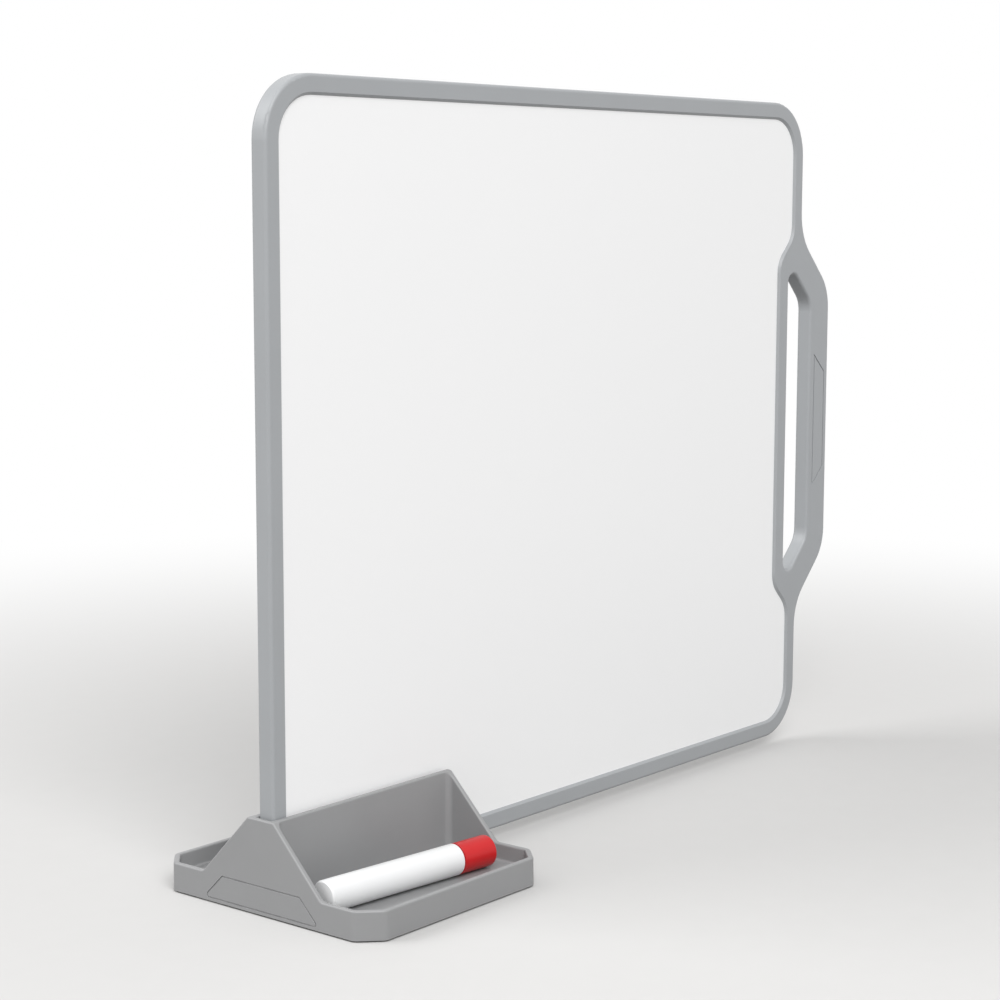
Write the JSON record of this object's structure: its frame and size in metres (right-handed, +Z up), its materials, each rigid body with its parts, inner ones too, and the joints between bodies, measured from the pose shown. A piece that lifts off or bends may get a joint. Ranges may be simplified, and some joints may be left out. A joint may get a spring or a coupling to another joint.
{
  "type": "desk whiteboard easel",
  "caption": "Double-sided magnetic whiteboard with a side handle, standing on edge in a slotted base with a marker tray on each side; board, marker and cap lift off.",
  "frame": {"origin": "On the desk, below the middle of the whole object's box", "axes": "+X along the board from the base towards the handle, +Y to the rear, +Z up; the marker lies on the -Y side"},
  "size_m": [0.522, 0.1484, 0.413],
  "materials": {
    "frame_plastic": "fine matt texture",
    "white_enamel": "smooth dry-wipe enamel",
    "core_board": "raw",
    "base_plastic": "fine matt texture",
    "grey_rubber": "matt",
    "plate_steel": "rolled",
    "cover_plastic": "matt",
    "screw_steel": "zinc plated",
    "foot_rubber": "matt",
    "barrel_white": "satin",
    "plug_white": "satin",
    "holder_white": "satin",
    "nib_felt": "ink-soaked felt",
    "reservoir_fibre": "pressed fibre",
    "cap_red": "satin",
    "seal_plastic": "soft polyethylene"
  },
  "bodies": {
    "base": {"base_shell": "base_plastic", "slot_liner_front": "grey_rubber", "slot_liner_rear": "grey_rubber", "slot_rest_pad": "grey_rubber", "ballast_front": "plate_steel", "ballast_rear": "plate_steel", "bottom_cover": "cover_plastic", "cover_screws": "screw_steel", "foot_front_left": "foot_rubber", "foot_front_right": "foot_rubber", "foot_rear_left": "foot_rubber", "foot_rear_right": "foot_rubber"},
    "board": {"front_frame": "frame_plastic", "rear_frame": "frame_plastic", "front_writing_sheet": "white_enamel", "panel_core": "core_board", "rear_writing_sheet": "white_enamel"},
    "marker": {"marker_barrel": "barrel_white", "marker_end_plug": "plug_white", "nib_holder": "holder_white", "marker_nib": "nib_felt", "ink_reservoir": "reservoir_fibre"},
    "cap": {"marker_cap": "cap_red", "cap_seal": "seal_plastic"}
  },
  "joints": [
    {"name": "board_lift", "type": "slide", "parent": "base", "child": "board", "axis": [0, 0, 1], "range_m": [0, 0.05]},
    {"name": "marker_lift", "type": "slide", "parent": "base", "child": "marker", "axis": [0, 0, 1], "range_m": [0, 0.06]},
    {"name": "cap_pull", "type": "slide", "parent": "marker", "child": "cap", "axis": [0.9957, -0.0924, 0], "range_m": [0, 0.009]}
  ]
}
